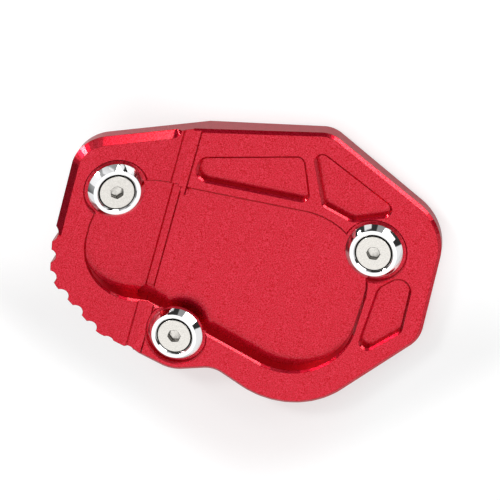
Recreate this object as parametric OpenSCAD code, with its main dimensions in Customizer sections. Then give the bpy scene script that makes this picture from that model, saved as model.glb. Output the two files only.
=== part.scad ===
// Kickstand foot enlarger: a shallow V of milled aluminium with a foot-shaped pocket,
// three countersunk clamp washers and three countersunk hexagon-socket screws.
// The plate is drawn with its crease along Y and the milling axis along Z, and is then
// laid down on the ground face of its right wing.

/* [Fold] */
// Slope of the left wing's top face, degrees
left_rise = 22; // [16:0.5:26]
// Slope of the right wing's top face, degrees
right_rise = 5; // [3:0.25:6]
// Slope of the ground face under the right wing, degrees
ground_rise = 7.8; // [7:0.1:8.5]
// Radius of the rounded ridge under the crease
ridge_r = 20; // [8:1:30]

/* [Thickness] */
// Depth of the plate under the crease
plate_t = 9.5; // [9.2:0.1:12]
// Thickness of the left wing, square to its face
wing_t = 7.2; // [7:0.1:9]

/* [Outline] */
// Distance of the left edge from the crease
left_reach = 29.6; // [28:0.2:33]
// Distance of the right edge from the crease
right_reach = 77.4; // [75:0.1:82]
// Distance of the long top edge from the crease's middle
top_reach = 31.7; // [31:0.1:34]
// Distance of the shoulder edge from the crease's middle
shoulder_reach = 55.5; // [55:0.5:58]
// Distance of the toe edge from the crease's middle
toe_reach = 32.5; // [31:0.5:35]
// Distance of the heel's lower edge from the crease's middle
heel_reach = 26.9; // [25:0.1:28]
// Distance of the heel's slanted side from the crease's middle
flank_reach = 66.1; // [65:0.1:69]
// Radius of the rim around the lower clamp washer
boss_r = 11.3; // [10.6:0.1:12]

/* [Edge bevels] */
// Bevel along the top edge of the plate
rim_bevel = 0.9; // [0.4:0.1:1.2]
// Wide bevel around the left wing's corner
wide_bevel = 2.2; // [1.4:0.1:2.8]
// Bevel along the underside of the plate
foot_bevel = 1; // [0.4:0.1:1.4]
// Bevel along the rims of the pockets
pocket_bevel = 0.6; // [0.2:0.1:0.9]

/* [Scalloped edge] */
// Radius of each scallop
scallop_r = 2.3; // [1.8:0.1:2.8]
// Depth of each scallop
scallop_d = 1.3; // [0.6:0.1:1.8]
// Spacing of the scallops along the edge
scallop_pitch = 6.6; // [6.2:0.1:9]
// Length of edge that the scallops take up
scallop_run = 46.5; // [20:0.5:47]

/* [Foot pocket] */
// Depth of the foot pocket
pocket_d = 5; // [3.5:0.1:5.2]
// Reach of the pocket's toe from the crease, along the left wing
pocket_toe = 21.9; // [20:0.1:23]
// Reach of the pocket's heel from the crease
pocket_heel = 59.3; // [56:0.2:60]
// Radius of the pocket's toe
toe_r = 17.5; // [12:0.5:18.5]
// Radius of the pocket's heel
heel_r = 20; // [16:0.5:21]

/* [Crease] */
// Width of the shallow channel along the crease
channel_w = 5; // [3:0.2:6]
// Depth of that channel
channel_d = 0.4; // [0.2:0.1:0.8]
// Width of the groove along the pocket's floor
groove_w = 2.8; // [1.6:0.2:4]
// Depth of that groove
groove_d = 0.4; // [0.2:0.1:0.8]
// Radius of the round relief in the floor where the groove meets the lower wall
relief_r = 2.8; // [1.6:0.1:3.2]

/* [Small pockets] */
// Depth of the three small pockets
recess_d = 2.6; // [1.5:0.1:4]

/* [Clamp washers] */
// Outer diameter of a clamp washer
washer_od = 16.3; // [15.8:0.1:16.8]
// Diameter of its flat top
washer_top_d = 13.4; // [12.4:0.1:14.4]
// Height of a clamp washer
washer_h = 3.1; // [2.9:0.1:3.4]
// Height of its straight rim
washer_rim_h = 1.5; // [1.1:0.1:2]
// Diameter of the countersink
sink_d = 10.3; // [10.1:0.1:10.6]
// Bevel around the countersink's mouth
sink_bevel = 0.5; // [0.2:0.1:0.6]
// Diameter of the screw hole in the washer
washer_hole_d = 5.6; // [5.5:0.1:6]
// Depth of the round seat under each washer
seat_d = 1.5; // [1.2:0.1:1.8]
// Gap around a washer in its seat
seat_gap = 0.85; // [0.3:0.05:0.95]
// Bevel around the rim of a seat
seat_bevel = 0.4; // [0.1:0.1:0.5]

/* [Screws] */
// Thread diameter of the clamp screws
screw_d = 5; // [4.6:0.1:5.2]
// Length of a screw with its head
screw_l = 7.5; // [6.5:0.5:7.5]
// Diameter of the countersunk head
head_d = 9.8; // [9:0.1:10]
// Height of the straight band around the head
head_band = 0.5; // [0.2:0.1:0.7]
// Width across the flats of the hexagon socket
socket_af = 3.3; // [2.8:0.1:3.6]
// Depth of the hexagon socket
socket_d = 1.8; // [1.2:0.1:2]
// Clearance around a screw and under its head
screw_gap = 0.05; // [0.03:0.01:0.1]

/* [Hidden] */

anodised_red = [0.82, 0.10, 0.16];
polished_alloy = [0.90, 0.90, 0.92];
satin_steel = [0.74, 0.74, 0.75];

// Most degrees between the flats of a beveled corner
arc_step = 9;
// Facets of a turned piece
round_fn = 96;
// How far a cutting shape reaches past the plate
over = 12;
// How far the cones that leave the bevels grow past the walls
cone_grow = 5;
// Reach of the side view past the plate
far = right_reach + over;
// Where the wide bevel ends, left of the crease
wide_end = 5;
// Place of the wide bevel's conical cutter outside the edge, and its dip at the end
cutter_out = 0.5;
cutter_dip = 0.05;
// Height of the first scallop on the left edge
first_scallop_y = -5.1;
// The scallops after this many are shallower, by this factor
full_scallops = 6;
shallow = 0.45;
// Middle and radius of the small lip left on the pocket's upper wall beside the crease
lip = [1.9, 14.7];
lip_r = 1.2;
// How far the relief and the groove cut into the pocket's walls
relief_in = 0.2;
// Bevel at the mouth of a tapped hole
tap_bevel = 0.6;
// Radius of the corners past the crease, which are cut away
join_r = 3;
// Bevel at a screw's tip
tip_bevel = 0.5;

// Screw places, seen along the milling axis, and their distances from the side edges
left_margin = 13.6;
right_margin = 19.3;
left_screw = [left_margin - left_reach, 11.3];
lower_screw = [10.6, -28.6];
right_screw = [right_reach - right_margin, 16];

// Direction and place of the ground face against the milling frame
ground_z = -plate_t * cos(ground_rise);
// Middle of the ground face, which is the part's origin
origin_x = 38;

// An edge is [direction of its outward normal, distance from the crease's middle,
// radius of the corner after it]. A negative radius is an inside corner.
lower_boss = function(a) lower_screw.x * cos(a) + lower_screw.y * sin(a) + boss_r;
toe_lead = [248.7, 35.55];
boss_lead = 262;
toe_ease = 0.5;
boss_flank = 294.2;
top_edge = [467.5, top_reach, 10];
plate_edges = [
    [180, left_reach, 12],
    [188.7, left_reach + toe_ease, 12],
    [227.7, toe_reach, 8],
    [toe_lead.x, toe_lead.y, 8],
    [boss_lead, lower_boss(boss_lead), boss_r],
    [boss_flank, lower_boss(boss_flank), -8],
    [253.8, heel_reach, 26],
    [324.2, flank_reach, 10],
    [364.3, right_reach, 15.5],
    [428.4, shoulder_reach, 8],
    top_edge
];
heel_top = [98, 15.1];
heel_bottom = [259.2, 21.1];
toe_top = [90, 15.9];
toe_bottom = [270, 21.6];
// Half of the angle between the two top faces
half_fold = (left_rise + right_rise) / 2;
// Lean of the plane through the crease that halves the fold
fold_lean = (left_rise - right_rise) / 2;
// Place of the crease on the pocket's floor
floor_crease_x = -pocket_d / cos(half_fold) * sin(fold_lean);
// Each half of the pocket runs on past the crease, and is cut there
heel_pocket_edges = [
    [0, pocket_heel, heel_r],
    [heel_top.x, heel_top.y, join_r],
    [180, over, join_r],
    [heel_bottom.x, heel_bottom.y, heel_r]
];
toe_pocket_edges = [
    [0, over, join_r],
    [toe_top.x, toe_top.y, toe_r],
    [180, pocket_toe, toe_r],
    [toe_bottom.x, toe_bottom.y, join_r]
];
long_recess_edges = [
    [23.5, 43, 1.8], [109.9, 22.6, 2.6], [180, -4.2, 2.6], [277.8, -18.6, 1.8]
];
shoulder_recess_edges = [
    [69.6, 48.7, 1.8], [205.9, -47.4, 2], [259.6, -31.2, 4], [297.9, 3.2, 2]
];
edge_recess_edges = [
    [4.5, 71.3, 3], [138.7, -43.3, 4], [178.7, -62.5, 1.8], [320.7, 58.4, 3]
];

// Where the line with normal a at distance d meets the line with normal b at distance e
function meet(a, d, b, e) =
    [d * sin(b) - e * sin(a), e * cos(a) - d * cos(b)] / sin(b - a);

// Turn from one normal to the next, between -180 and 180 degrees
function turn(a, b) = let (t = (b - a) % 360) t > 180 ? t - 360 : t < -180 ? t + 360 : t;

// Points of the flats that go round the corner between edges p and q, moved out by grow.
// Each flat touches the corner's arc, and the first and last are the edges themselves.
function corner(p, q, grow) =
    let (
        r = p[2],
        middle = meet(p[0], p[1] - r, q[0], q[1] - r),
        sweep = turn(p[0], q[0]),
        steps = ceil(abs(sweep) / arc_step),
        reach = (r + grow) / cos(sweep / steps / 2)
    )
    [for (i = [0.5:steps]) let (a = p[0] + sweep * i / steps) middle + reach * [cos(a), sin(a)]];

// Closed outline of a list of edges, moved out by grow
function outline(edges, grow = 0) =
    let (n = len(edges))
    [for (i = [0:n - 1]) each corner(edges[i], edges[(i + 1) % n], grow)];

// The same outline with true arcs
module rounded(edges) {
    n = len(edges);
    corners = [for (i = [0:n - 1])
        let (p = edges[i], q = edges[(i + 1) % n], r = p[2])
        [meet(p[0], p[1] - r, q[0], q[1] - r), p[0], q[0], r]];
    difference() {
        union() {
            polygon([for (c = corners, a = [c[1], c[2]]) c[0] + c[3] * [cos(a), sin(a)]]);
            for (c = corners) if (c[3] > 0) translate(c[0]) circle(c[3], $fn = round_fn);
        }
        for (c = corners) if (c[3] < 0) translate(c[0]) circle(-c[3], $fn = round_fn);
    }
}

// Y of the point of an edge's line at a given x
function edge_y(edge, x) = (edge[1] - x * cos(edge[0])) / sin(edge[0]);

// Point and direction at distance s along a path of points
function walk(path, s, i = 0) =
    let (step = path[i + 1] - path[i], length = norm(step))
    s <= length || i == len(path) - 2 ? [path[i] + step * (s / length), step / length] :
        walk(path, s - length, i + 1);

scallop_path = concat([[-left_reach, first_scallop_y]], outline(plate_edges));

// Slope, as a rotation about Y, and height of the top face at a place
function face_turn(x) = x < 0 ? left_rise : -right_rise;
function slope_z(rotation, x) = -x * tan(rotation);

// Solid that runs through several rings of one outline. Each level is [growth, height
// above the face], and the face slopes by rotation about Y and meets the crease at Z = 0.
module loft(edges, rotation, levels) {
    rings = [for (level = levels) [for (p = outline(edges, level[0]))
        [p.x, p.y, slope_z(rotation, p.x) + level[1]]]];
    n = len(rings[0]);
    top = n * (len(levels) - 1);
    polyhedron(
        points = [for (ring = rings) each ring],
        faces = concat(
            [[for (i = [0:n - 1]) i]],
            [[for (i = [n - 1:-1:0]) top + i]],
            [for (k = [0:n:top - 1], i = [0:n - 1])
                let (j = (i + 1) % n) [k + i, k + n + i, k + n + j, k + j]]
        )
    );
}

// Slab along the crease whose side view is the given outline of [x, z] points
module along_crease(side_view, from = -60, to = 60) {
    translate([0, to, 0])
        rotate([90, 0, 0])
            linear_extrude(to - from) polygon(side_view);
}

// Puts its children on the top face at a place, with Z square to that face
module on_face(place) {
    rotation = face_turn(place.x);
    translate([place.x, place.y, slope_z(rotation, place.x)])
        rotate([0, rotation, 0]) children();
}

// Lays the plate down on its ground face, with the origin in that face's middle
module laid_down() {
    translate([-origin_x, 0, -ground_z])
        rotate([0, ground_rise, 0]) children();
}

// Side view of the plate: a valley on top and a rounded ridge below
module plate_slab() {
    wing_side = [270 - left_rise, wing_t, ridge_r];
    ground_side = [270 + ground_rise, -ground_z, ridge_r];
    ridge = corner(wing_side, ground_side, 0);
    along_crease(concat(
        [
            [far, slope_z(-ground_rise, far) - plate_t],
            [far, slope_z(-right_rise, far)],
            [0, 0],
            [-far, slope_z(left_rise, -far)],
            [-far, slope_z(left_rise, -far) - wing_t / cos(left_rise)]
        ],
        ridge
    ));
}

// The plate's walls stand along the milling axis. Each face has a cone of its own that
// leaves the bevels: the cone grows past the walls away from the face. The left wing's top
// face gets its bevel later.
module plate_blank() {
    wing_z = wing_t / cos(left_rise);
    intersection() {
        translate([0, 0, -2 * over]) linear_extrude(5 * over) rounded(plate_edges);
        plate_slab();
        union() {
            loft(plate_edges, -right_rise,
                [[cone_grow, -3 * over], [cone_grow, -rim_bevel - cone_grow],
                [-rim_bevel - 1, 1]]);
            along_crease([[0, -2 * over], [0, 2 * over], [-far, 4 * over], [-far, -2 * over]]);
        }
        loft(plate_edges, -ground_rise,
            [[-foot_bevel - 1, -plate_t - 1], [cone_grow, -plate_t + foot_bevel + cone_grow],
            [cone_grow, 4 * over]]);
        loft(plate_edges, left_rise,
            [[-foot_bevel - 1, -wing_z - 1], [cone_grow, -wing_z + foot_bevel + cone_grow],
            [cone_grow, 4 * over]]);
    }
}

// The wide bevel runs round the left wing's corner, from the first scallop to short of the
// crease, where the conical cutter leaves a scoop
module wide_bevel_cut() {
    high = wide_bevel + 1;
    difference() {
        along_crease([
            [-wide_end, slope_z(left_rise, -wide_end) - high],
            [-wide_end, slope_z(left_rise, -wide_end) + high],
            [-far, slope_z(left_rise, -far) + high],
            [-far, slope_z(left_rise, -far) - high]
        ], first_scallop_y);
        loft(plate_edges, left_rise,
            [[cone_grow, -wide_bevel - cone_grow], [-wide_bevel - 2, 2]]);
    }
    tip_z = slope_z(left_rise, -wide_end) - wide_bevel - cutter_out - cutter_dip;
    translate([-wide_end, edge_y(top_edge, -wide_end) + cutter_out, tip_z])
        cylinder(h = over, r1 = 0, r2 = over, $fn = round_fn);
}

module scallop_cuts() {
    for (k = [0:floor(scallop_run / scallop_pitch)]) {
        spot = walk(scallop_path, k * scallop_pitch);
        outward = [spot[1].y, -spot[1].x];
        depth = k < full_scallops ? scallop_d : scallop_d * shallow;
        centre = spot[0] + (scallop_r - depth) * outward;
        translate([centre.x, centre.y, -2 * over])
            cylinder(h = 5 * over, r = scallop_r, $fn = round_fn);
    }
}

// Pocket with walls along the milling axis and a floor parallel to the right wing's face
module right_pocket_cut(edges, depth) {
    floor_z = -depth / cos(right_rise);
    intersection() {
        translate([0, 0, -over]) linear_extrude(4 * over) rounded(edges);
        along_crease([
            [-over, slope_z(-right_rise, -over) + floor_z],
            [far, slope_z(-right_rise, far) + floor_z],
            [far, 2 * over],
            [-over, 2 * over]
        ]);
    }
    loft(edges, -right_rise,
        [[-1, -pocket_bevel - 1], [pocket_bevel + 1, 1]]);
}

// The pocket under the heel and the toe's pocket, which is square to the left wing, meet
// in the plane that halves the fold. A small lip stays on the upper wall.
module foot_pocket_cut() {
    split = over * [sin(fold_lean), cos(fold_lean)];
    difference() {
        intersection() {
            right_pocket_cut(heel_pocket_edges, pocket_d);
            along_crease([-split, [far, -2 * over], [far, 2 * over], split]);
        }
        translate([lip.x, lip.y, -2 * over]) cylinder(h = 4 * over, r = lip_r, $fn = round_fn);
    }
    intersection() {
        rotate([0, left_rise, 0]) {
            translate([0, 0, -pocket_d]) linear_extrude(over) rounded(toe_pocket_edges);
            loft(toe_pocket_edges, 0,
                [[-1, -pocket_bevel - 1], [pocket_bevel + 1, 1]]);
        }
        along_crease([split, [-far, 3 * over], [-far, -2 * over], -split]);
    }
}

// Side view of a shallow channel along the fold, with sloping sides. It reaches as far
// above the faces as below them.
function channel(width, depth) =
    let (low = width / 2 - depth, high = width / 2 + depth)
    [
        [-high, slope_z(left_rise, -high) + depth],
        [-low, slope_z(left_rise, -low) - depth],
        [0, -depth],
        [low, slope_z(-right_rise, low) - depth],
        [high, slope_z(-right_rise, high) + depth]
    ];

// Shallow channel over the whole crease
module channel_cut() { along_crease(channel(channel_w, channel_d)); }

// Groove along the pocket's floor, and the round relief where it meets the lower wall
module groove_cut() {
    floor_z = slope_z(-right_rise, floor_crease_x) - pocket_d / cos(right_rise);
    lower_y = edge_y(heel_bottom, floor_crease_x);
    upper_y = edge_y(heel_top, floor_crease_x);
    translate([floor_crease_x, 0, floor_z]) {
        along_crease(channel(groove_w, groove_d), lower_y - relief_in, upper_y + relief_in);
        intersection() {
            translate([0, lower_y, -groove_d])
                cylinder(h = over / 6, r = relief_r, $fn = round_fn);
            translate([-over, lower_y - relief_in, -over]) cube(2 * over);
        }
    }
}

// Round seat of a washer with its beveled rim, and the tapped hole below it
module washer_seat_cut() {
    seat_r = washer_od / 2 + seat_gap;
    translate([0, 0, -seat_d]) cylinder(h = over, r = seat_r, $fn = round_fn);
    translate([0, 0, -seat_bevel])
        cylinder(h = 2 * seat_bevel, r1 = seat_r, r2 = seat_r + 2 * seat_bevel, $fn = round_fn);
    tap_r = screw_d / 2 + screw_gap;
    translate([0, 0, -2 * over]) cylinder(h = 3 * over, r = tap_r, $fn = round_fn);
    translate([0, 0, -seat_d - tap_bevel])
        cylinder(h = 2 * tap_bevel, r1 = tap_r, r2 = tap_r + 2 * tap_bevel, $fn = round_fn);
}

module base_plate() {
    color(anodised_red) laid_down() difference() {
        plate_blank();
        wide_bevel_cut();
        scallop_cuts();
        foot_pocket_cut();
        for (edges = [long_recess_edges, shoulder_recess_edges, edge_recess_edges])
            right_pocket_cut(edges, recess_d);
        channel_cut();
        groove_cut();
        for (place = [left_screw, lower_screw, right_screw]) on_face(place) washer_seat_cut();
    }
}

// Turned washer with a straight rim, a coned side and a countersink
module clamp_washer() {
    hole_r = washer_hole_d / 2;
    sink_r = sink_d / 2;
    color(polished_alloy) translate([0, 0, -seat_d])
        rotate_extrude($fn = round_fn) polygon([
            [hole_r, 0],
            [washer_od / 2, 0],
            [washer_od / 2, washer_rim_h],
            [washer_top_d / 2, washer_h],
            [sink_r + sink_bevel, washer_h],
            [sink_r, washer_h - sink_bevel],
            [hole_r, washer_h - sink_bevel - (sink_r - hole_r)]
        ]);
}

// Countersunk screw whose head rests in the washer's countersink
module clamp_screw() {
    shank_r = screw_d / 2;
    head_r = head_d / 2;
    top_z = -seat_d + washer_h - sink_bevel - (sink_d / 2 - head_r) + screw_gap + head_band;
    socket_r = socket_af / 2 / cos(30);
    color(satin_steel) translate([0, 0, top_z]) difference() {
        rotate_extrude($fn = round_fn) polygon([
            [0, 0],
            [head_r, 0],
            [head_r, -head_band],
            [shank_r, -head_band - (head_r - shank_r)],
            [shank_r, -screw_l + tip_bevel],
            [shank_r - tip_bevel, -screw_l],
            [0, -screw_l]
        ]);
        translate([0, 0, -socket_d]) cylinder(h = over, r = socket_r, $fn = 6);
    }
}

module clamp_washer_left() { laid_down() on_face(left_screw) clamp_washer(); }
module clamp_washer_lower() { laid_down() on_face(lower_screw) clamp_washer(); }
module clamp_washer_right() { laid_down() on_face(right_screw) clamp_washer(); }
module clamp_screw_left() { laid_down() on_face(left_screw) clamp_screw(); }
module clamp_screw_lower() { laid_down() on_face(lower_screw) clamp_screw(); }
module clamp_screw_right() { laid_down() on_face(right_screw) clamp_screw(); }

base_plate();
clamp_washer_left();
clamp_washer_lower();
clamp_washer_right();
clamp_screw_left();
clamp_screw_lower();
clamp_screw_right();
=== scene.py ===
"""Looks of the kickstand foot enlarger: a red plate, three clamp washers and three screws.

The plate keeps the solid's own mesh. The washers and screws are turned again in their places,
with finer edges, a groove round each head and a thread."""

import math

import bpy
import numpy as np
from mathutils import Matrix, Vector


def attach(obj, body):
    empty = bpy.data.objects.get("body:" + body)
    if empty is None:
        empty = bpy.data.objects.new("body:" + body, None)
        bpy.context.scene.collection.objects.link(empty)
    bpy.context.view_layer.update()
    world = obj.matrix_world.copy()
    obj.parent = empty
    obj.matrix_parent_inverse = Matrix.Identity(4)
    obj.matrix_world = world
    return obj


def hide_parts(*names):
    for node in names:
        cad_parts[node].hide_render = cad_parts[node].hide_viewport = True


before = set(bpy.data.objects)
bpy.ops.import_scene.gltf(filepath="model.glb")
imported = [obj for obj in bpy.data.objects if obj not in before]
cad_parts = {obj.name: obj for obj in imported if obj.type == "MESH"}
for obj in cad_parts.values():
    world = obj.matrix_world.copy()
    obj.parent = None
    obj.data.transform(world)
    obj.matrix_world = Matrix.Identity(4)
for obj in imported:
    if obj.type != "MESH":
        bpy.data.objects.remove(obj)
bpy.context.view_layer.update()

# Sizes are in mm, angles in degrees, and the scene is in metres
MM = 0.001

# The milling frame has its Y along the crease, and is laid down on the ground face: slopes of
# the ground face and of both top faces, depth under the crease, and the part's origin
GROUND_RISE = 7.8
LEFT_RISE, RIGHT_RISE = 22.0, 5.0
PLATE_T = 9.5
ORIGIN_X = 38.0

# The camera in the photograph's pixels: its focal length and the milling frame's origin, and
# the ways that the frame's Y (right, down) and Z (right, down) point in the picture
PHOTO_PX, FOCAL_PX, MM_PER_PX = 500, 2000.0, 0.2857
ORIGIN_PX = (165, 235)
CREASE_WAY = (0.283, -0.959)
MILLING_WAY = (0.14, -0.36)
SENSOR = 36

# Sizes of the turned pieces, as the solids have them
SCREWS = {"left": (-16.0, 11.3), "lower": (10.6, -28.6), "right": (58.1, 16.0)}
SEAT_D = 1.5
WASHER_R, WASHER_TOP_R, WASHER_H, WASHER_RIM = 8.15, 6.7, 3.1, 1.5
SINK_R, SINK_BEVEL, HOLE_R = 5.15, 0.5, 2.8
HEAD_R, HEAD_BAND, SHANK_R, SCREW_L = 4.9, 0.5, 2.5, 7.5
SCREW_GAP, TIP_BEVEL = 0.05, 0.5
SOCKET_AF, SOCKET_D = 3.3, 1.8

# What only the looks have: how each socket is turned, the groove round the head, the rounded
# edges, the cone at the socket's bottom and the thread
SOCKET_TURN = {"left": 46.0, "lower": 22.0, "right": 12.0}
GROOVE_D, WASHER_EDGE, HEAD_EDGE = 1.3, 0.07, 0.14
SOCKET_CONE = 0.25
THREAD_PITCH, THREAD_D, THREAD_ROWS, CREST = 0.8, 0.42, 12, 1.25
SHARP_ANGLE = 32

# The socket's wall: how far outside the hexagon, depth, painted shade
SOCKET_WALL = [
    (-0.12, SOCKET_D, 0.1),
    (-0.03, SOCKET_D, 0.9),
    (0.0, SOCKET_D - 0.03, 0.9),
    (0.0, SOCKET_D * 0.5, 0.5),
    (0.0, 0.25, 0.55),
    (0.0, 0.17, 0.9),
    (0.03, 0.12, 0.9),
]
# Its mouth: how far outside the hexagon and its inner circle, depth, painted shade
SOCKET_MOUTH = [(0.10, 0.12, 0.02, 0.85), (0.14, 0.27, 0.0, 0.0)]

# Noise of the finishes, in features to the metre, and rings to the mm on turned pieces
PLATE_GRAIN, PLATE_PATCHES, STEEL_GRAIN, ALLOY_SMEARS = 3400.0, 45.0, 2500.0, 300.0
WASHER_RINGS, SCREW_RINGS, RING_DRIFT = 22.0, 30.0, 60.0
# The plate's colour from its darkest grain to its lightest, the dark end also serving as
# painted shade on edges: place, linear colour
RED_TONES = [
    (0.0, (0.12, 0.0, 0.002, 1)),
    (0.36, (0.46, 0.0, 0.004, 1)),
    (0.64, (0.74, 0.016, 0.052, 1)),
]
# Screen colours of the washers and screws, and of the painted shade in the washers' grooves and
# the screws' sockets
ALLOY, ALLOY_PAINTED_SHADE = (246, 246, 247), (20, 18, 18)
STEEL_LOW, STEEL_HIGH, STEEL_PAINTED_SHADE = (205, 202, 196), (242, 238, 232), (30, 26, 24)
FLOOR_GREY = (0.42, 0.42, 0.42, 1)

# Round patches of light: azimuth, elevation, inner and outer angle, level
SKY_PATCHES = [
    (-56, 48, 40, 50, 0.77),
    (172, 46, 18, 21, 0.6),
    (-126, 16, 14, 17, 0.8),
]
# Soft boxes: azimuth, elevation, half width, half height, level. The bevels and the washers
# mirror them where the photograph has its light and dark marks.
SOFT_BOXES = [
    (62, 22, 20, 9, 5.4),
    (72, 9, 6, 7, 0.9),
    (94, 21, 10, 11, 0.28),
    (108, 37, 16, 9, 0.5),
    (160, 13, 4, 4, 20.0),
    (-20, 0, 40, 18, 0.85),
    (132, 10, 10, 6, 0.8),
]
# The key lamp: the way to it, its distance and width in metres, and its radiance
KEY_WAY, KEY_FAR, KEY_WIDE, KEY_RADIANCE = (-0.71, 0.35, 0.61), 0.9, 0.22, 22.0


def turn_y(degrees):
    """Matrix of a rotation about Y."""
    c, s = math.cos(math.radians(degrees)), math.sin(math.radians(degrees))
    return np.array([[c, 0, s], [0, 1, 0], [-s, 0, c]])


LAY_DOWN = turn_y(GROUND_RISE)
LAY_SHIFT = np.array([-ORIGIN_X, 0, PLATE_T * math.cos(math.radians(GROUND_RISE))])


def on_face(points, place):
    """Puts points, whose Z is square to the top face, at a place of that face. In metres."""
    rise = LEFT_RISE if place[0] < 0 else -RIGHT_RISE
    foot = np.array([place[0], place[1], -place[0] * math.tan(math.radians(rise))])
    return (((points @ turn_y(rise).T) + foot) @ LAY_DOWN.T + LAY_SHIFT) * MM


def place_camera():
    """Looks at the plate as the photograph does. The camera is known by the directions of the
    milling frame's axes in the picture: x to the right, y down, z away from the camera."""
    away = np.array([*MILLING_WAY, 0.0])
    away[2] = math.sqrt(1 - away @ away)
    crease = np.array(CREASE_WAY)
    along = np.append(crease, -(away[:2] @ crease) / away[2])
    along /= np.linalg.norm(along)
    across = np.cross(away, along)
    basis = np.array([across, along, -away])
    origin = np.array([*ORIGIN_PX, 0.0]) - PHOTO_PX / 2
    origin[2] = FOCAL_PX
    origin *= MM_PER_PX
    centre = LAY_DOWN @ (basis @ -origin) + LAY_SHIFT
    right, down, forward = (LAY_DOWN @ basis).T
    cam = bpy.data.cameras.new("camera")
    cam.sensor_fit = "HORIZONTAL"
    cam.sensor_width = SENSOR
    cam.lens = SENSOR * FOCAL_PX / PHOTO_PX
    cam.clip_start, cam.clip_end = 0.01, 20
    camera = bpy.data.objects.new("camera", cam)
    matrix = np.eye(4)
    matrix[:3, 0], matrix[:3, 1], matrix[:3, 2] = right, -down, -forward
    matrix[:3, 3] = centre * MM
    camera.matrix_world = Matrix(matrix.tolist())
    bpy.context.collection.objects.link(camera)
    bpy.context.scene.camera = camera


# ---------------------------------------------------------------- surfaces

def rounded(corners, radius, steps=4):
    """Closed outline of [r, z] corners, each rounded by an arc. The arc of a corner starts and
    ends at tangent points radius * tan(turn / 2) away from it, at most a third of a side."""
    points = np.array(corners, float)
    before, after = np.roll(points, 1, 0), np.roll(points, -1, 0)
    rows = []
    for p, a, b in zip(points, before, after):
        u, v = a - p, b - p
        lu, lv = np.linalg.norm(u), np.linalg.norm(v)
        u, v = u / lu, v / lv
        half = math.acos(np.clip(u @ v, -1, 1)) / 2
        reach = min(radius / math.tan(half), lu / 3, lv / 3)
        r = reach * math.tan(half)
        middle = p + (u + v) / np.linalg.norm(u + v) * (r / math.sin(half))
        start, end = p + u * reach - middle, p + v * reach - middle
        t = np.linspace(0, 1, steps + 1)[:, None]
        arc = start * (1 - t) + end * t
        rows.append(middle + arc / np.linalg.norm(arc, axis=1)[:, None] * r)
    return np.concatenate(rows)


def grid_mesh(name, points, marks, closed_profile):
    """Mesh of a grid [row, column, xyz] that closes over its columns. With a closed profile
    it closes over its rows as well, otherwise a fan closes each end on its middle. Marks are
    grids of numbers by name, which the mesh carries for its material."""
    rows, columns = points.shape[:2]
    index = np.arange(rows * columns).reshape(rows, columns)
    right = np.roll(index, -1, 1)
    if closed_profile:
        low, high = index, np.roll(index, -1, 0)
        low_r, high_r = right, np.roll(right, -1, 0)
    else:
        low, high, low_r, high_r = index[:-1], index[1:], right[:-1], right[1:]
    quads = np.stack([low, low_r, high_r, high], -1).reshape(-1, 4)
    vertices = points.reshape(-1, 3)
    faces = quads.tolist()
    marks = {key: value.reshape(-1) for key, value in marks.items()}
    if not closed_profile:
        ends = np.array([points[0].mean(0), points[-1].mean(0)])
        first, last = len(vertices), len(vertices) + 1
        vertices = np.concatenate([vertices, ends])
        marks = {key: np.append(value, [0.0, 0.0]) for key, value in marks.items()}
        faces += np.stack([right[0], index[0], np.full(columns, first)], -1).tolist()
        faces += np.stack([index[-1], right[-1], np.full(columns, last)], -1).tolist()
    mesh = bpy.data.meshes.new(name)
    mesh.from_pydata(vertices.tolist(), [], faces)
    for key, value in marks.items():
        layer = mesh.attributes.new(key, "FLOAT", "POINT")
        layer.data.foreach_set("value", value.astype(np.float32))
    mesh.polygons.foreach_set("use_smooth", np.ones(len(mesh.polygons), bool))
    mesh.update()
    mesh.set_sharp_from_angle(angle=math.radians(SHARP_ANGLE))
    piece = bpy.data.objects.new(name, mesh)
    bpy.context.collection.objects.link(piece)
    return piece


def washer_grid(columns=144):
    """Turned washer: every point [r, z] of its profile goes to (r cos a, r sin a, z) at the
    angles a = 2 pi j / columns. Its countersink starts below a narrow groove, which is given
    painted shade round the screw's head."""
    low = WASHER_H - SINK_BEVEL - GROOVE_D
    profile = rounded([
        [HOLE_R, 0], [WASHER_R, 0], [WASHER_R, WASHER_RIM], [WASHER_TOP_R, WASHER_H],
        [SINK_R + SINK_BEVEL, WASHER_H], [SINK_R, WASHER_H - SINK_BEVEL], [SINK_R, low],
        [HOLE_R, low - (SINK_R - HOLE_R) * 0.5]], WASHER_EDGE)
    angle = 2 * np.pi * np.arange(columns) / columns
    r, z = profile[:, :1], profile[:, 1:] - SEAT_D
    points = np.stack([r * np.cos(angle), r * np.sin(angle), z + 0 * angle], -1)
    # Painted shade: the groove round the head is coloured near black
    dark = (r < SINK_R + 0.06) & (z + SEAT_D < WASHER_H - SINK_BEVEL * 0.8)
    marks = {"ring": r + 0 * angle, "dark": 0.97 * dark + 0 * angle}
    return points[:, ::-1], {key: value[:, ::-1] for key, value in marks.items()}


def hexagon(angle, across):
    """Distance of a hexagon's edge from its middle: a/2 / cos(t), where t is the angle to the
    nearest flat."""
    t = (angle % (np.pi / 3)) - np.pi / 6
    return across / 2 / np.cos(t)


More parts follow.
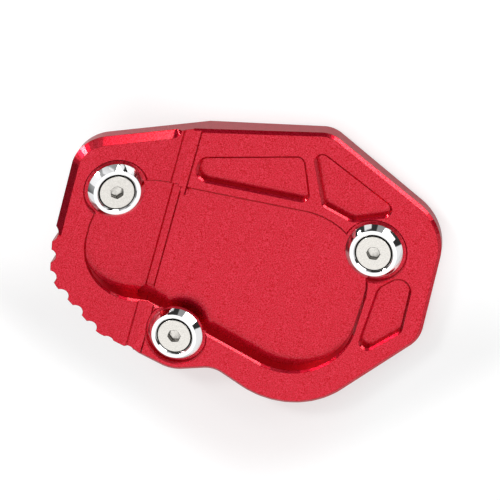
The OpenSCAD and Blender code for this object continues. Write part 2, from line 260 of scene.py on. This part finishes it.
def screw_grid(turn, columns=96):
    """Countersunk screw, from the middle of its socket outwards and down to its tip. Each row
    has its radius at every angle, its depth below the top and its painted shade, which darkens
    the socket's walls and mouth. The thread's radius is r = R - d (1 - |2 frac(z/p + a/2pi) -
    1|), with flat crests and with the depth d faded in below the head."""
    angle = 2 * np.pi * np.arange(columns) / columns
    hexa = hexagon(angle, SOCKET_AF)
    half = SOCKET_AF / 2
    top = -SEAT_D + WASHER_H - SINK_BEVEL - (SINK_R - HEAD_R) + SCREW_GAP + HEAD_BAND
    rows, heights, painted_shades = [], [], []

    def row(radius, depth, dark=0.0):
        rows.append(radius + 0 * angle)
        heights.append(top - depth + 0 * angle)
        painted_shades.append(dark + 0 * angle)

    for share in (0.15, 0.45, 0.8):
        row(hexa * share, SOCKET_D + SOCKET_CONE * (1 - share))
    # The socket's walls and mouth carry painted shade
    for out, depth, dark in SOCKET_WALL:
        row(hexa + out, depth, dark)
    for out, round_out, depth, dark in SOCKET_MOUTH:
        start = np.maximum(hexa + out, half + round_out)
        row(start, depth, dark)
    blend = half * 1.6
    for share in (0.35, 0.7, 1.0):
        row(start + (blend - start) * share, 0.0)
    flat = HEAD_R - HEAD_EDGE
    for radius in np.linspace(blend, flat, 9)[1:]:
        row(radius, 0.0)
    for t in np.linspace(0, math.pi / 2, 5)[1:]:
        row(flat + HEAD_EDGE * math.sin(t), HEAD_EDGE * (1 - math.cos(t)))
    ease = 0.05
    row(HEAD_R, HEAD_BAND)
    row(HEAD_R - ease, HEAD_BAND + ease)
    neck = HEAD_BAND + HEAD_R - SHANK_R
    row(SHANK_R + 2 * ease, neck - 2 * ease)
    row(SHANK_R - 0.03, neck + ease)
    depths = np.arange(neck + 2 * ease, SCREW_L - TIP_BEVEL, THREAD_PITCH / THREAD_ROWS)
    depth = depths[:, None] + 0 * angle
    wave = np.abs(2 * ((depth / THREAD_PITCH + angle / (2 * np.pi)) % 1) - 1)
    fade = np.clip((depth - neck - 2 * ease) / THREAD_PITCH, 0, 1)
    valley = THREAD_D * (1 - np.clip(wave * CREST, 0, 1))
    shank = SHANK_R - 0.02 - valley * fade
    radii = np.concatenate([np.array(rows), shank])
    levels = np.concatenate([np.array(heights), top - depth])
    dark = np.concatenate([np.array(painted_shades), 0 * depth])
    tip = np.array([SHANK_R - 0.22 - valley[-1] * 0.5, SHANK_R - TIP_BEVEL + 0 * angle,
                    1.0 + 0 * angle])
    above = np.array([[TIP_BEVEL - 0.15], [0.0], [0.0]])
    radii = np.concatenate([radii, tip])
    levels = np.concatenate([levels, top - SCREW_L + above + 0 * tip])
    dark = np.concatenate([dark, 0 * tip])
    spin = angle + math.radians(turn)
    points = np.stack([radii * np.cos(spin), radii * np.sin(spin), levels], -1)
    return points, {"ring": radii, "dark": dark}


# ---------------------------------------------------------------- finishes

class Wire:
    """A number that changes over a surface: arithmetic on it adds Math nodes."""

    def __init__(self, shop, socket):
        self.shop, self.socket = shop, socket

    def maths(self, operation, *others):
        values = [self.socket] + [o.socket if isinstance(o, Wire) else o for o in others]
        return self.shop.node("ShaderNodeMath", {"operation": operation}, *values)

    def __add__(self, other):
        return self.maths("ADD", other)

    __radd__ = __add__

    def __mul__(self, other):
        return self.maths("MULTIPLY", other)

    __rmul__ = __mul__

    def __sub__(self, other):
        return self.maths("SUBTRACT", other)

    def __rsub__(self, other):
        return (self * -1) + other

    def clamp(self):
        """Keeps the number between 0 and 1."""
        return self.maths("MAXIMUM", 0.0).maths("MINIMUM", 1.0)


class Finish:
    """A material, or the world, and the one method that adds its nodes."""

    def __init__(self, name, world=None):
        if world:
            world.use_nodes = True
            self.tree = world.node_tree
        else:
            self.material = bpy.data.materials.new(name)
            self.material.use_nodes = True
            self.tree = self.material.node_tree
        self.tree.nodes.clear()

    def node(self, kind, settings=None, *inputs, out=0, **named):
        """Adds a node, sets its settings and then its sockets, and gives the socket out."""
        made = self.tree.nodes.new(kind)
        for key, value in (settings or {}).items():
            if key == "stops":
                ramp = made.color_ramp
                while len(ramp.elements) < len(value):
                    ramp.elements.new(0.5)
                for element, (place, colour) in zip(ramp.elements, value):
                    element.position, element.color = place, colour
            else:
                setattr(made, key, value)
        sockets = list(enumerate(inputs)) + [(k.replace("_", " "), v) for k, v in named.items()]
        for key, value in sockets:
            if value is None:
                continue
            if isinstance(value, Wire):
                value = value.socket
            if isinstance(value, bpy.types.NodeSocket):
                self.tree.links.new(value, made.inputs[key])
            else:
                made.inputs[key].default_value = value
        return Wire(self, made.outputs[out]) if made.outputs else None

    def noise(self, vector, scale, detail=2.0, roughness=0.5):
        """Noise with so many features to the unit of its vector."""
        return self.node("ShaderNodeTexNoise", {}, Vector=vector, Scale=scale, Detail=detail,
                         Roughness=roughness, out="Fac")

    def along(self, vector, axis):
        """How far a vector goes along an axis: their dot product."""
        return self.node("ShaderNodeVectorMath", {"operation": "DOT_PRODUCT"}, vector, axis,
                         out="Value")

    def between(self, value, low, high, start, end):
        """Smooth step of value from low to high, as a number from start to end."""
        return self.node("ShaderNodeMapRange", {"interpolation_type": "SMOOTHSTEP"},
                         value, low, high, start, end)


def srgb(red, green, blue):
    """Linear colour of an 8-bit screen colour."""
    values = np.array([red, green, blue]) / 255
    linear = np.where(values < 0.04045, values / 12.92, ((values + 0.055) / 1.055) ** 2.4)
    return (*linear.tolist(), 1.0)


def anodised():
    """Blasted and anodised aluminium: a satin metal under a thin clear film, with fine grain.
    Its edges look slightly rounded, and painted shade makes them darker than the level faces."""
    f = Finish("anodised_red")
    spot = f.node("ShaderNodeTexCoord", out="Object")
    grain = f.noise(spot, PLATE_GRAIN, 2.0, 0.6)
    patches = f.noise(spot, PLATE_PATCHES)
    rough = 0.27 + grain * 0.08 + patches * 0.03
    edge = f.node("ShaderNodeBevel", {"samples": 6}, Radius=0.18 * MM, out="Normal")
    flat = f.node("ShaderNodeNewGeometry", out="Normal")
    # level is 1 on level faces and 0 on edges and inner corners, where it paints shade into the
    # colour and takes away the coat
    level = f.between(f.along(edge, flat), 0.93, 0.995, 0.0, 1.0)
    tone = f.node("ShaderNodeValToRGB", {"stops": RED_TONES},
                  Fac=grain * (level * 0.75 + 0.25))
    bump = f.node("ShaderNodeBump", {}, Strength=0.10, Distance=0.03 * MM, Height=grain,
                  Normal=edge, out="Normal")
    surface = f.node("ShaderNodeBsdfPrincipled", {}, Base_Color=tone, Metallic=1.0,
                     Roughness=rough, Normal=bump, Coat_Roughness=0.07, Coat_IOR=1.5,
                     Coat_Weight=(grain * 1.6 - 0.3).clamp() * level)
    f.node("ShaderNodeOutputMaterial", {}, Surface=surface)
    return f.material


def turned(f, fine):
    """Noise that runs round a turned piece: it changes fast with the radius and slowly along
    the turn."""
    spot = f.node("ShaderNodeTexCoord", out="Object")
    ring = f.node("ShaderNodeAttribute", {"attribute_name": "ring"}, out="Fac")
    across = f.node("ShaderNodeCombineXYZ", {}, ring * fine, 0.0, 0.0)
    slow = f.node("ShaderNodeVectorMath", {"operation": "SCALE"}, Vector=spot, Scale=RING_DRIFT)
    both = f.node("ShaderNodeVectorMath", {"operation": "ADD"}, across, slow)
    return f.noise(both, 1.0, 3.0, 0.6), spot


def shaded(f, light, shadow):
    """Colour that goes from light to a painted shadow colour by the piece's mark of painted
    shade.
    """
    dark = f.node("ShaderNodeAttribute", {"attribute_name": "dark"}, out="Fac")
    # The Mix node's colours come after its sockets for the other kinds of values
    skipped = [None] * 5
    return f.node("ShaderNodeMix", {"data_type": "RGBA"}, dark, *skipped, light, shadow, out=2)


def polished():
    """Turned and polished aluminium."""
    f = Finish("polished_aluminium")
    lines, spot = turned(f, WASHER_RINGS)
    smears = f.noise(spot, ALLOY_SMEARS)
    bump = f.node("ShaderNodeBump", {}, Strength=0.04, Distance=0.02 * MM, Height=lines,
                  out="Normal")
    surface = f.node("ShaderNodeBsdfPrincipled", {},
                     Base_Color=shaded(f, srgb(*ALLOY), srgb(*ALLOY_PAINTED_SHADE)),
                     Metallic=1.0, Roughness=0.035 + smears * 0.04, Normal=bump)
    f.node("ShaderNodeOutputMaterial", {}, Surface=surface)
    return f.material


def satin():
    """Satin steel of the screws, with a fine circular grain."""
    f = Finish("satin_steel")
    lines, spot = turned(f, SCREW_RINGS)
    grain = f.noise(spot, STEEL_GRAIN, 3.0, 0.6)
    tone = f.node("ShaderNodeValToRGB", {"stops": [
        (0.30, srgb(*STEEL_LOW)), (0.70, srgb(*STEEL_HIGH))]}, Fac=lines * 0.4 + grain * 0.6)
    surface = f.node("ShaderNodeBsdfPrincipled", {},
                     Base_Color=shaded(f, tone, srgb(*STEEL_PAINTED_SHADE)), Metallic=1.0,
                     Roughness=0.22 + lines * 0.14)
    f.node("ShaderNodeOutputMaterial", {}, Surface=surface)
    return f.material


def set_material(obj, material):
    """Puts a material into every slot of a node."""
    for slot in obj.material_slots:
        slot.material = material
    if not obj.material_slots:
        obj.data.materials.append(material)


# ---------------------------------------------------------------- studio

def toward(azimuth, elevation):
    """Unit vector of a direction in the sky."""
    a, e = math.radians(azimuth), math.radians(elevation)
    return Vector((math.cos(a) * math.cos(e), math.sin(a) * math.cos(e), math.sin(e)))


def lobe(w, direction, azimuth, elevation, inner, outer, level):
    """Soft round patch of sky, as bright as level inside the inner angle."""
    cosine = w.along(direction, toward(azimuth, elevation))
    return w.between(cosine, math.cos(math.radians(outer)), math.cos(math.radians(inner)),
                     0.0, level)


def panel(w, direction, azimuth, elevation, wide, high, level):
    """Rectangular soft box: wide and high are the half angles that it takes in the sky. The
    blur softens its edges, and the other half of the sky stays dark."""
    front, side, blur = toward(azimuth, elevation), toward(azimuth + 90, 0), 0.025
    light = level
    for axis, half in ((side, wide), (front.cross(side), high)):
        off = w.along(direction, axis).maths("ABSOLUTE")
        edge = math.sin(math.radians(half))
        light = w.between(off, edge + blur, edge - blur, 0.0, 1.0) * light
    return light * w.between(w.along(direction, front), 0.1, 0.3, 0.0, 1.0)


def lay_floor():
    """White floor. The camera sees it lifted to white, but for a painted shadow below the
    object: a soft grey patch with a painted reflection of the red plate in its middle. The
    distances are in metres."""
    half = 4.0
    mesh = bpy.data.meshes.new("floor")
    mesh.from_pydata([(-half, -half, 0), (half, -half, 0), (half, half, 0), (-half, half, 0)],
                     [], [(0, 1, 2, 3)])
    floor = bpy.data.objects.new("floor", mesh)
    bpy.context.collection.objects.link(floor)
    f = Finish("floor_white")
    seen = f.node("ShaderNodeLightPath", out="Is Camera Ray")
    glossy = f.node("ShaderNodeLightPath", out="Is Glossy Ray")
    spot = f.node("ShaderNodeTexCoord", out="Object")
    down = f.along(spot, (CREASE_WAY[0], CREASE_WAY[1], 0.0))
    aside = f.along(spot, (-CREASE_WAY[1], CREASE_WAY[0], 0.0)) + 0.014
    # The distance from the painted shadow's middle line, rounded near that line
    aside = (aside * aside + 0.02 ** 2).maths("SQRT")
    starts = f.between(down, -0.012, 0.022, 0.0, 1.0)
    ends = f.between(down + aside * 0.7, 0.068, 0.091, 1.0, 0.0)
    # Painted shadow: the grey patch where the camera's lift is lowered below the object
    patch = starts * ends
    # Painted reflection: a little less green and blue in the middle of the painted shadow
    painted_reflection = seen * patch * f.between(aside, 0.022, 0.048, 0.035, 0.0)
    lift = seen * (0.62 - patch * 0.15) + glossy * 0.19
    lift = f.node("ShaderNodeCombineXYZ", {}, lift, lift - painted_reflection, lift - painted_reflection)
    surface = f.node("ShaderNodeBsdfPrincipled", {}, Base_Color=FLOOR_GREY,
                     Roughness=0.35, Emission_Color=lift, Emission_Strength=1.0)
    f.node("ShaderNodeOutputMaterial", {}, Surface=surface)
    mesh.materials.append(f.material)


def hang_sky():
    """A sky of soft boxes that only the object sees. The camera sees white."""
    world = bpy.data.worlds.new("studio")
    bpy.context.scene.world = world
    w = Finish("studio", world)
    direction = w.node("ShaderNodeTexCoord", out="Generated")
    height = w.node("ShaderNodeSeparateXYZ", {}, direction, out="Z")
    sky = w.between(height, 0.35, 0.75, 0.03, 0.42)
    for patch in SKY_PATCHES:
        sky = sky + lobe(w, direction, *patch)
    for box in SOFT_BOXES:
        sky = sky + panel(w, direction, *box)
    seen = w.node("ShaderNodeLightPath", out="Is Camera Ray")
    back = w.node("ShaderNodeBackground", {}, Color=seen + (1 - seen) * sky, Strength=1.0)
    w.node("ShaderNodeOutputWorld", {}, Surface=back)


def hang_key_lamp():
    """One round lamp. Its power is radiance * pi * area."""
    lamp = bpy.data.lights.new("key", "AREA")
    lamp.shape = "DISK"
    lamp.size = KEY_WIDE
    lamp.energy = KEY_RADIANCE * math.pi * math.pi * (KEY_WIDE / 2) ** 2
    light = bpy.data.objects.new("key", lamp)
    light.location = Vector(KEY_WAY).normalized() * KEY_FAR
    light.rotation_euler = (-light.location).to_track_quat("-Z", "Y").to_euler()
    bpy.context.collection.objects.link(light)


place_camera()
red, white, steel = anodised(), polished(), satin()
for name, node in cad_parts.items():
    set_material(node, red if name == "base_plate" else white if "washer" in name else steel)
for side, place in SCREWS.items():
    points, marks = washer_grid()
    washer = grid_mesh("washer_" + side, on_face(points, place), marks, True)
    washer.data.materials.append(white)
    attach(washer, "root")
    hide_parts("clamp_washer_" + side)
    points, marks = screw_grid(SOCKET_TURN[side])
    screw = grid_mesh("screw_" + side, on_face(points, place), marks, False)
    screw.data.materials.append(steel)
    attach(screw, "root")
    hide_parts("clamp_screw_" + side)
lay_floor()
hang_sky()
hang_key_lamp()

bpy.context.scene.view_settings.view_transform = "Standard"
